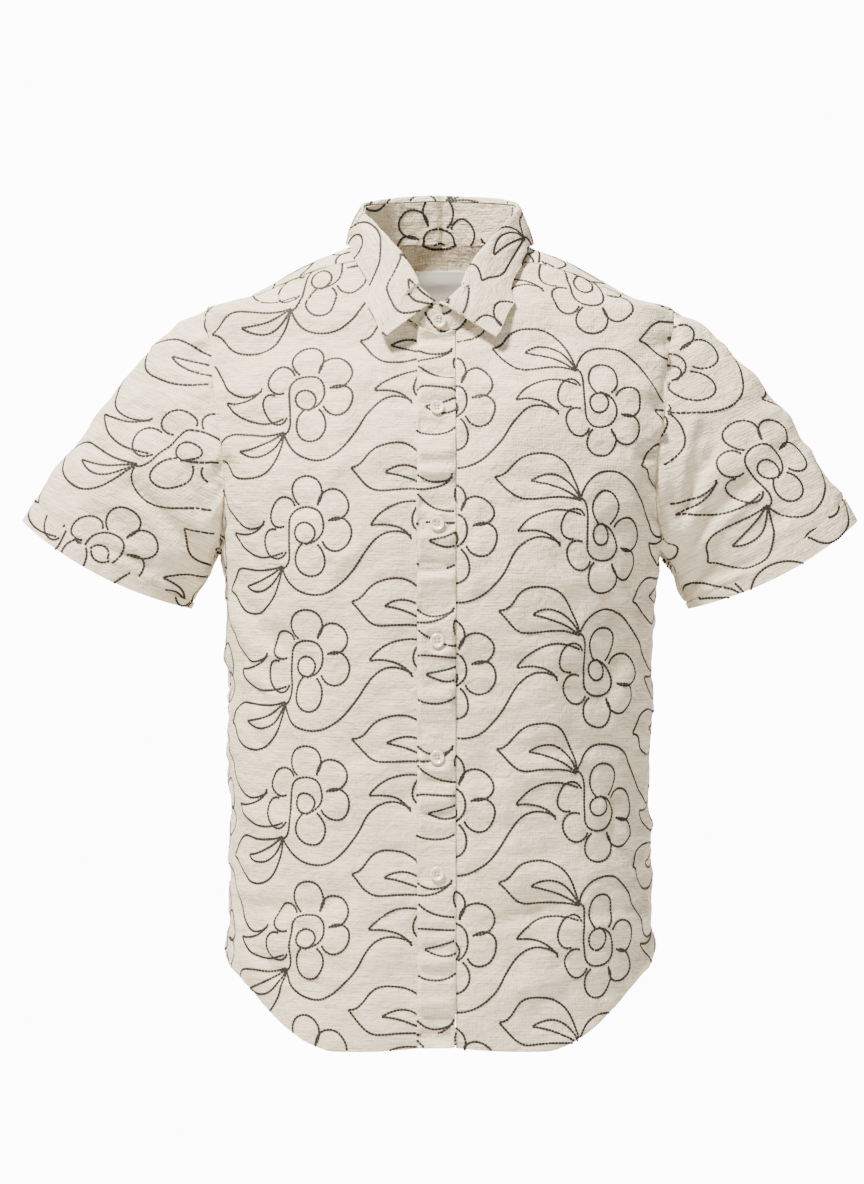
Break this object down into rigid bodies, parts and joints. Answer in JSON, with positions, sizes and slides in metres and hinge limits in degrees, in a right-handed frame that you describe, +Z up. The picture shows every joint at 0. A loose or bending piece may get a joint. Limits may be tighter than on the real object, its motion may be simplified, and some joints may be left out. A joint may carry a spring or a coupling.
{
  "type": "short-sleeved button-front shirt",
  "caption": "Hollow short-sleeved shirt with a fold-over collar, a buttoned front strip, a back yoke and a curved hem, held at the neck and open at neck, cuffs and hem.",
  "frame": {"origin": "middle of the neck hole, at the height where the collar meets the shoulders", "axes": "+Z up, -Y out of the front, +X towards the wearer's left"},
  "size_m": [0.7344, 0.2554, 0.7445],
  "materials": {
    "embroidered_cloth": "oatmeal cotton and linen cloth, embroidered all over in near-black outline stitches of flowers and leaves",
    "label_tape": "plain woven label tape, bare",
    "button": "pearly cream resin, turned and polished, with a raised rim",
    "embroidery_thread": "near-black twisted polyester embroidery thread",
    "sewing_thread": "sewing thread that matches the cloth"
  },
  "bodies": {
    "root": {"back": "embroidered_cloth", "yoke": "embroidered_cloth", "front_left": "embroidered_cloth", "front_right": "embroidered_cloth", "placket": "embroidered_cloth", "collar_stand": "embroidered_cloth", "collar_leaf": "embroidered_cloth", "sleeve_left": "embroidered_cloth", "sleeve_right": "embroidered_cloth", "cuff_band_left": "embroidered_cloth", "cuff_band_right": "embroidered_cloth", "neck_label": "label_tape", "button_collar": "button", "button_1": "button", "button_2": "button", "button_3": "button", "button_4": "button", "button_5": "button"}
  },
  "joints": []
}
